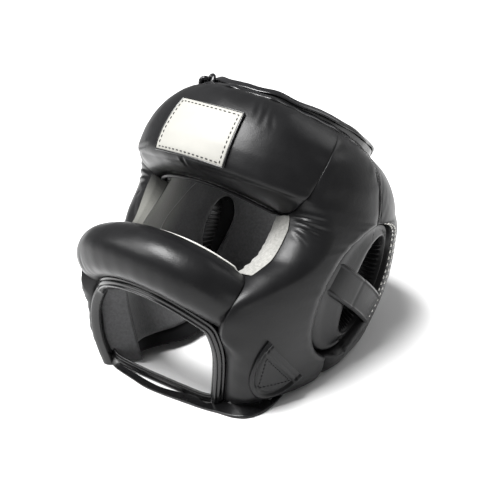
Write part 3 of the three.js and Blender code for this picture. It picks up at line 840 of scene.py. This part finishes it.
def backEdgePieces(sideName, side):
    up = np.linspace(edgeSewing["from"], edgeSewing["to"], 161)
    for k, inset in enumerate(edgeSewing["rows"]):
        a = inset / backPadShape["wide"](up)
        turn, level = backPadShape["place"](a, up)
        backward = unit(lift(turn + 1, level, edgeSewing["out"]) - lift(turn - 1, level, edgeSewing["out"]))
        normal = unit(shellNormal(turn, level) - edgeSewing["lean"] * backward)
        points = lift(turn, level, backPadShape["height"](a, up) + edgeSewing["proud"])
        stitchRow("back_edge_stitches_%s_%d" % (sideName, k + 1), points * mirrorFor(side),
                  normal * mirrorFor(side), edgeSewing["thread"], whiteThread)
    up = np.linspace(seamWelt["from"], seamWelt["to"], 81)
    turn, level = earBorder(up, earHigh["angle"])
    run = framesOn(turn, level, backPadShape["height"](0 * up, up) + seamWelt["proud"])
    sweepPiece("back_seam_welt_" + sideName, run, cordSection(seamWelt["radius"], 12), smoothCowhide,
               side=side)


for sideName, side in sides.items():
    backEdgePieces(sideName, side)
print("ear openings ready")


# Bindings, piping and lace

def mirrorRun(turn, level, first=0):  # carries a run on over the middle to the other side
    return np.concatenate([turn, -turn[first:-1][::-1]]), np.concatenate([level, level[first:-1][::-1]])


mouthEdge = {"halfAcross": 5.2, "halfOut": 4.8, "ridges": 3, "ridge": 1.1, "leftHeight": 15,
             "rightHeight": 31, "rightFoot": -8, "barHeight": 16, "foot": (45.4, 0.004), "soft": 5,
             "lap": 1.2}


def mouthBinding():
    share = np.linspace(0, barFoot, 60)
    turn, level = frontBorder(share)
    turn[0], level[0] = mouthEdge["foot"]
    rise = np.clip(share / barFoot, 0, 1) ** 2
    reach = np.linspace(1, 0, 61)[1:]
    lowTurn, lowLevel = faceBarShape["place"](0.5 + reach / 2, 0 * reach)
    turn, level = mirrorRun(np.concatenate([turn, lowTurn]), np.concatenate([level, lowLevel]))
    bar = mouthEdge["barHeight"]
    rightHeight = mouthEdge["rightHeight"] + mouthEdge["rightFoot"] * (1 - share / barFoot) ** 2
    left, right = (np.concatenate([mix(h, bar, rise), 0 * reach + bar])
                   for h in (mouthEdge["leftHeight"], rightHeight))
    height = np.concatenate([left, right[:-1][::-1]])
    p, across, out = framesOn(*(softened(v, mouthEdge["soft"]) for v in (turn, level, height)))
    p = p + across * (mouthEdge["halfAcross"] - mouthEdge["lap"])
    sweepPiece("mouth_edge_binding", (p, across, out), ridgedSection(mouthEdge, 64), smoothCowhide,
               "mouth_binding")


mouthBinding()

eyePiping = {"radius": 1.5, "paleRadius": 0.7, "height": 3.2, "around": 16, "inset": 0.8, "tuck": 2,
             "reach": 0.94, "steps": 50, "sideRun": 0.17, "paleRun": 0.31}  # runs as shares of the loop


def eyePipingPiece():
    reach = np.linspace(0, eyePiping["reach"], eyePiping["steps"])
    upper = foreheadShape["place"](0.5 + reach / 2, 0 * reach)
    beside = frontBorder(np.linspace(eyeTop, eyeFoot, eyePiping["steps"]))
    lower = faceBarShape["place"](0.5 + reach[::-1] / 2, 1 + 0 * reach)
    turn, level = mirrorRun(*(np.concatenate(v) for v in zip(upper, beside, lower)), first=1)
    p, across, out = framesOn(turn, level, 0 * turn + eyePiping["height"], ring=True)
    count = len(turn)
    step = np.arange(count)
    beside = ((step / count * 2) % 1 - 0.5) / eyePiping["sideRun"]
    atSide = np.exp(-beside ** 12)[:, None]  # tucked away at the two sides
    inset = eyePiping["radius"] + eyePiping["inset"]
    p = p - across * inset * (1 - 2 * atSide) - out * eyePiping["tuck"] * atSide
    # the lower run and the sides, painted pale as painted light
    pale = np.exp(-((step - count / 2) / (eyePiping["paleRun"] * count)) ** 12)
    radius = mix(eyePiping["radius"], eyePiping["paleRadius"], pale)
    section = cordSection(1, eyePiping["around"]) * radius[:, None, None]
    obj = sweepPiece("eye_edge_piping", (p, across, out), section, blackCowhide, "eye_piping",
                     ring=True)
    obj.data.materials.append(paleEdge)
    for face in obj.data.polygons:
        face.material_index = int(pale[face.vertices[0] // eyePiping["around"]] > 0.5)


eyePipingPiece()

rim = {"halfAcross": 4.6, "halfOut": 7, "ridges": 2, "ridge": 0.8, "count": 360, "inset": 0.8,
       "lumpy": 0.35, "lumps": ((22, 61), (30, 62)),  # size in mm and seed, across and out
       "lift": byColumn(["height"], [[5], [7.5], [12.2], [16], [20], [18], [16]])}  # from nose to nape
lace = {"halfWide": 3.4, "halfThick": 1.2, "sink": 1.0, "lumpy": 0.9}


def rimRun(above, lumpy):
    turn = np.arange(rim["count"]) / rim["count"] * 360
    height = along(rim["lift"], "height", np.abs((turn + 180) % 360 - 180) / 180)
    p, across, out = framesOn(turn, 0 * turn + 1, height + above, ring=True)
    lumpsAcross, lumpsOut = (waves(p, *row)[:, None] for row in rim["lumps"])
    sideways = rim["halfAcross"] + rim["inset"] + lumpy * lumpsAcross
    return p + across * sideways + out * lumpy * lumpsOut, across, out


sweepPiece("rim_edge_binding", rimRun(0, rim["lumpy"]), ridgedSection(rim, 40), smoothCowhide,
           "rim_binding", ring=True)
laceAbove = rim["halfOut"] + lace["halfThick"] - lace["sink"]
sweepPiece("rim_lacing", rimRun(laceAbove, lace["lumpy"]),
           roundSection(lace["halfWide"], lace["halfThick"], 24, 0.6), waxedLace, "rim_lace",
           ring=True)

knot = {"turn": -33.8, "level": 0.985, "height": 16.5, "long": 2.94, "wide": 2.1, "tall": 3.0,
        "radius": 2.1, "steps": 160}


def knotPiece():
    turn = np.array([knot["turn"], knot["turn"] + 1.0])
    seat = framesOn(turn, np.full(2, knot["level"]), np.full(2, knot["height"]))
    p, sideways, out = (v[0] for v in seat)
    way = np.cross(sideways, out)
    t = np.arange(knot["steps"])[:, None] / knot["steps"] * 2 * math.pi
    # an overhand knot
    x, y, z = np.sin(t) + 2 * np.sin(2 * t), np.cos(t) - 2 * np.cos(2 * t), -np.sin(3 * t)
    run = p + way * x * knot["long"] + sideways * y * knot["wide"] + out * z * knot["tall"]
    ahead = unit(np.roll(run, -1, 0) - np.roll(run, 1, 0))
    across = unit(np.cross(ahead, out + 0 * ahead))
    sweepPiece("lace_overhand_knot", (run, across, np.cross(ahead, across)),
               cordSection(knot["radius"], 14), waxedLace, "lace_knot", ring=True)


knotPiece()

laceTail = {"from": -34, "to": 112, "level": 0.962, "halfWide": 2.6, "halfThick": 1.1, "proud": 0.8,
            "sway": 0.011, "swayWave": (46, 71), "bob": 0.5, "bobWave": (30, 72),  # waves in mm, and seeds
            "seam": 68, "rear": 96, "perDegree": 1.6, "soft": 6}


def laceTailPiece():  # the lace comes back along the outer side of the rim
    turn = np.linspace(laceTail["from"], laceTail["to"], 241)
    reach, seam = turn * laceTail["perDegree"], laceTail["seam"]
    level = laceTail["level"] + laceTail["sway"] * ripple(reach, 0 * turn, *laceTail["swayWave"])
    front = padTop(foreheadShape, forehead, *foreheadShape["find"](np.minimum(turn, seam - 2), level))
    beside = padTop(sidePadShape, sidePad,
                    *sidePadShape["find"](np.clip(turn, seam + 2, laceTail["rear"]), level))
    h = softened(np.where(turn < seam, front, beside), laceTail["soft"]) + laceTail["proud"]
    run = framesOn(turn, level, h + laceTail["bob"] * ripple(reach, 0 * turn, *laceTail["bobWave"]))
    sweepPiece("rim_lacing_return", run, roundSection(laceTail["halfWide"], laceTail["halfThick"], 20, 0.6),
               waxedLace)


laceTailPiece()


# Eye facings, jaw tabs and patch

eyeFacing = {"grid": (61, 33), "narrow": 0.7, "bulge": 3.0, "ends": 0.02, "inset": 0.2, "foot": -2.5,
             "wall": 0.4, "proud": 0.6, "torn": {1: 0.75, -1: 0}, "long": 60, "tear": 8, "seed": 12,
             "faces": ((1.6, 1.6), (0.3, 0.2))}  # share of the foot's stand-off, mm over the edge
# The near eye facing painted light, the far one painted shade.
facingSuede = {1: paleSuede, -1: shadedSuede}


def eyeFacingPiece(sideName, side):
    n, m = eyeFacing["grid"]
    share, inward = gridOf(np.linspace(0, 1, n), np.linspace(0, 1, m))
    up = mix(eyeFoot, eyeTop, mix(eyeFacing["ends"], 1 - eyeFacing["ends"], share))
    width = eyeFacing["narrow"] + eyeFacing["bulge"] * np.sin(math.pi * share) ** 0.7
    wall = eyeFacing["wall"]
    climb, over = np.clip(inward / wall, 0, 1), np.clip((inward - wall) / (1 - wall), 0, 1)  # up, then over
    a = (eyeFacing["inset"] + width * over) / sidePadShape["wide"](up)
    turn, level = sidePadShape["place"](a, up)
    h = mix(eyeFacing["foot"], padTop(sidePadShape, sidePad, a, up, side), climb)
    ragged = ripple(share * eyeFacing["long"], 0 * share, eyeFacing["tear"], eyeFacing["seed"], 7)
    torn = eyeFacing["torn"][side] * ragged * np.clip(1.4 - 1.9 * share, 0.1, 1)  # most at the foot
    proud = mix(eyeFacing["proud"] * (torn * (1 - climb) - 1), 0, over)  # degrees, foot clear of the wall
    faces = [placed(turn + proud * s, level, h + d * over, side) for s, d in eyeFacing["faces"]]
    sheetPiece("eye_facing_suede_" + sideName, *faces, facingSuede[side], "pale_suede",
               "eye_facing_" + sideName)


for sideName, side in sides.items():
    eyeFacingPiece(sideName, side)

jawTab = {"grid": (89, 49), "thick": 2.4, "top": (54.5, 0.222), "rear": (73, 0.108), "bow": (-10.5, -0.085),
          "deep": 30, "arc": 25.5, "proud": 1.6,
          "bandWide": 6.5, "bandHigh": 1.2, "bandEdge": 0.8, "bandEnd": 3,
          "piping": {"at": 1.6, "wide": 1.3, "high": 1.7}, "groove": {"at": 4.2, "wide": 0.7, "high": -0.9},
          "bandSeam": {"at": 3.3, "wide": 0.6, "high": -0.5},
          "sewn": [(-0.66, 0.26), (0.7, 0.26), (-0.12, 0.82)],
          "thread": {"long": 2.4, "gap": 1.0, "radius": 0.5, "sink": 0.1}}


def ridge(distance, row):
    return row["high"] * np.exp(-((distance - row["at"]) / row["wide"]) ** 2)


def jawTabTop(reach, depth, side):  # reach along the straight edge, depth toward the curved one
    turn, level = (mix(jawTab["top"][k], jawTab["rear"][k], 0.5 + reach / 2) + jawTab["bow"][k] * depth
                   for k in (0, 1))
    h = padTop(sidePadShape, sidePad, *sidePadShape["find"](turn, level), side)
    straight, curved = depth * jawTab["deep"], (1 - np.hypot(reach, depth)) * jawTab["arc"]  # mm from each
    h = h + jawTab["proud"] + ridge(curved, jawTab["piping"]) + ridge(curved, jawTab["groove"])
    band = np.clip((jawTab["bandWide"] - straight) / jawTab["bandEdge"], 0, 1)
    band = band * np.clip(curved / jawTab["bandEnd"], 0, 1)
    return turn, level, h + (jawTab["bandHigh"] + ridge(straight, jawTab["bandSeam"])) * band


def jawTabPiece(sideName, side):
    n, m = jawTab["grid"]
    reach, up = gridOf(np.sin(np.linspace(-1.5, 1.5, n)), np.linspace(0, 1, m))
    turn, level, h = jawTabTop(reach, up * np.sqrt(1 - reach ** 2), side)
    sheetPiece("jaw_patch_" + sideName, placed(turn, level, h, side),
               placed(turn, level, h - jawTab["thick"], side), blackCowhide, "black_leather",
               "jaw_tab_" + sideName)
    corners = np.array(jawTab["sewn"] + jawTab["sewn"][:1])
    share = np.linspace(0, 3, 181)
    reach, depth = (np.interp(share, np.arange(4), corners[:, k]) for k in (0, 1))
    turn, level, h = jawTabTop(reach, depth, side)
    stitchRow("jaw_patch_%s_stitches" % sideName, lift(turn, level, h) * mirrorFor(side),
              shellNormal(turn, level) * mirrorFor(side), jawTab["thread"], blackThread)


for sideName, side in sides.items():
    jawTabPiece(sideName, side)

jawWelt = {"radius": 1.1, "from": 0.03, "to": 0.42, "up": 0.014, "bend": 0.2, "climb": 0.02, "proud": 0.4}


def jawWeltPiece(sideName, side):
    a = np.linspace(jawWelt["from"], jawWelt["to"], 61)
    up = jawWelt["up"] + jawWelt["climb"] * np.clip(a - jawWelt["bend"], 0, 1)
    turn, level = sidePadShape["place"](a, up)
    run = framesOn(turn, level, padTop(sidePadShape, sidePad, a, up, side) + jawWelt["proud"])
    sweepPiece("jaw_welt_" + sideName, run, cordSection(jawWelt["radius"], 12), smoothCowhide,
               side=side)


for sideName, side in sides.items():
    jawWeltPiece(sideName, side)

patch = {"right": -15.5, "left": 17, "low": 0.644, "high": 0.817, "grid": (81, 51), "halfWide": 30,
         "halfTall": 22, "top": 2.0, "under": 0.5, "sewn": 2.6, "sewnHigh": 2.1, "weltOut": 0.7,
         "weltHigh": 1.2, "weltHalf": (1.0, 1.2),
         "thread": {"long": 2.6, "gap": 1.5, "radius": 0.42, "sink": 0.1}}


def browHeight(turn, level):
    return foreheadShape["height"](*foreheadShape["find"](turn, level))


def patchEdge(inset):  # once round the patch, this many mm inside its edge
    x0, x1, y0, y1 = (patch[k] for k in ("right", "left", "low", "high"))
    corners = np.array([(x0, y0), (x1, y0), (x1, y1), (x0, y1), (x0, y0)])
    middle = (corners[0] + corners[2]) / 2
    corners = middle + (corners - middle) * (1 - inset / np.array([patch["halfWide"], patch["halfTall"]]))
    return [np.interp(np.linspace(0, 4, 401), np.arange(5), corners[:, k]) for k in (0, 1)]


def foreheadPatch():
    n, m = patch["grid"]
    turn, level = gridOf(np.linspace(patch["right"], patch["left"], n),
                         np.linspace(patch["low"], patch["high"], m))
    h = browHeight(turn, level)
    sheetPiece("forehead_patch_leather", placed(turn, level, h + patch["top"]),
               placed(turn, level, h + patch["under"]), whiteCoated, "white_leather", "forehead_patch")
    turn, level = patchEdge(patch["sewn"])
    stitchRow("forehead_patch_stitches", lift(turn, level, browHeight(turn, level) + patch["sewnHigh"]),
              shellNormal(turn, level), patch["thread"], blackThread)
    turn, level = (v[:-1] for v in patchEdge(-patch["weltOut"]))
    run = framesOn(turn, level, browHeight(turn, level) + patch["weltHigh"], ring=True)
    sweepPiece("forehead_patch_welt", run, roundSection(*patch["weltHalf"], 12, 1), smoothCowhide,
               ring=True)


foreheadPatch()
print("trim ready")


# Chin strap, in mm above the table

strapRows = byColumn(["x", "throatY", "throatZ", "frontX", "frontY", "frontZ"], [
    [-60, -117, 13, -64, -121, 8],
    [-56, -123.5, 8, -59, -127, 4],
    [-47, -127, 3.5, -49, -131.5, 1.8],
    [-28, -129.4, 2.6, -28, -135.5, 1.6],
    [-10, -132, 2.4, -10, -138.8, 1.5],
    [5, -132.4, 2.4, 5, -139, 1.5],
    [20, -129.5, 2.6, 20, -138, 1.6],
    [34, -125.5, 3, 35, -136.6, 1.7],
    [48, -129.4, 3, 50, -135.2, 1.8],
    [60, -120, 5, 63, -132.6, 1.8],
    [68, -114, 11, 76, -130.6, 2],
    [73, -104, 12, 86, -124, 2.2],
    [76, -95, 10, 91, -111, 2.2],
    [78, -86, 7, 91, -96, 2],
    [79, -76, 5, 88, -81, 2],
    [79, -64, 3, 83, -66, 2.4],
])
upperRows = byColumn(["x", "y", "z"], [
    [58, -118, 10],
    [52, -123, 5.6],
    [42, -125.2, 4],
    [20, -125.5, 3.7],
    [0, -125.5, 3.7],
    [-20, -125.5, 4],
    [-40, -125.3, 5],
    [-52, -124.5, 6.2],
    [-59, -122.5, 8.5],
])
upperStrap = {"halfAcross": 4.4, "halfOut": 1.7, "ridges": 2, "ridge": 0.5}  # stands on its edge


def chinStrapPieces():
    n, m = chinStrap["grid"]
    share, forward = gridOf(np.linspace(0, 1, n), np.linspace(0, 1, m))
    row = lambda c: along(strapRows, c, share)
    top = fromTable(mix(row("x"), row("frontX"), forward), mix(row("throatY"), row("frontY"), forward),
                    mix(row("throatZ"), row("frontZ"), forward))
    wide = (top[:, -1] - top[:, 0])[:, None]
    under = top + unit(np.cross(np.gradient(top, axis=0), wide)) * chinStrap["thick"]
    sheetPiece("chin_strap_leather", rest(top, tableGap["strap"]), rest(under, tableGap["strap"]),
               smoothCowhide, "gloss_leather", "chin_strap")
    share = np.linspace(0, 1, 121)
    p = fromTable(*(along(upperRows, c, share) for c in ("x", "y", "z")))
    way = unit(np.gradient(p, axis=0))
    up = fromTable(0 * share, 0, eyeHeight + 1)
    across = unit(np.cross(up, way))
    section = ridgedSection(upperStrap, 40)[:, ::-1]
    sweepPiece("chin_strap_upper", (p, across, np.cross(way, across)), section, smoothCowhide,
               "chin_strap_top", floor=tableGap["strap"])


chinStrapPieces()
print("straps ready")


# Stage, light and camera

floorHalf = 6
floorMesh = bpy.data.meshes.new("table_top")
floorMesh.from_pydata([(x * floorHalf, y * floorHalf, 0) for x, y in ((-1, -1), (1, -1), (1, 1), (-1, 1))],
                      [], [(0, 1, 2, 3)])
floor = bpy.data.objects.new("table_top", floorMesh)
bpy.context.scene.collection.objects.link(floor)
# Matt studio paper: an even white with hardly any shine.
paper, _, paperShader, _ = newMaterial("white_paper_matt")
paperShader.inputs["Base Color"].default_value = linear("#efefef")
paperShader.inputs["Roughness"].default_value = 0.9
paperShader.inputs["Specular IOR Level"].default_value = 0.1
floorMesh.materials.append(paper)

camera = {"turn": 37.8, "rise": 24.0, "far": 1.110, "lens": 93.3, "sensor": 36,
          "aimRight": -0.00694, "aimUp": -0.0220}
eyePoint = Vector((0, headY / 1000, eyeHeight / 1000))
az, el = math.radians(camera["turn"]), math.radians(camera["rise"])
back = Vector((math.sin(az) * math.cos(el), -math.cos(az) * math.cos(el), math.sin(el)))
right = Vector((math.cos(az), math.sin(az), 0))
up = back.cross(right)
camData = bpy.data.cameras.new("photo_camera")
camData.lens, camData.sensor_width = camera["lens"], camera["sensor"]
cam = bpy.data.objects.new("photo_camera", camData)
bpy.context.scene.collection.objects.link(cam)
cam.location = eyePoint + back * camera["far"]
aim = eyePoint + right * camera["aimRight"] + up * camera["aimUp"]
cam.rotation_euler = (aim - cam.location).to_track_quat("-Z", "Y").to_euler()
bpy.context.scene.camera = cam

# Metres above the table, to the left of the view and toward the camera, and watts.
softboxes = {
    "key_softbox": {"above": 1.45, "left": 0.4, "near": 0.25, "size": (0.8, 0.5), "power": 57},
    "back_softbox": {"above": 0.9, "left": -1.1, "near": -0.7, "size": (0.8, 0.8), "power": 4},
    "left_softbox": {"above": 1.2, "left": 1.1, "near": 0.2, "size": (0.9, 0.9), "power": 20},
}
lightAim = Vector((0, 0, 0.12))
leftward, toCam = -right, Vector((back.x, back.y, 0)).normalized()
for name, box in softboxes.items():
    light = bpy.data.lights.new(name, "AREA")
    light.shape = "RECTANGLE"
    light.size, light.size_y = box["size"]
    light.energy = box["power"]
    obj = bpy.data.objects.new(name, light)
    bpy.context.scene.collection.objects.link(obj)
    obj.location = Vector((0, 0, box["above"])) + leftward * box["left"] + toCam * box["near"]
    obj.rotation_euler = (lightAim - obj.location).to_track_quat("-Z", "Y").to_euler()

world = bpy.data.worlds.new("studio")
world.use_nodes = True
world.node_tree.nodes["Background"].inputs["Color"].default_value = (1, 1, 1, 1)
world.node_tree.nodes["Background"].inputs["Strength"].default_value = 0.28
bpy.context.scene.world = world
bpy.context.scene.view_settings.view_transform = "Standard"
print("stage ready")
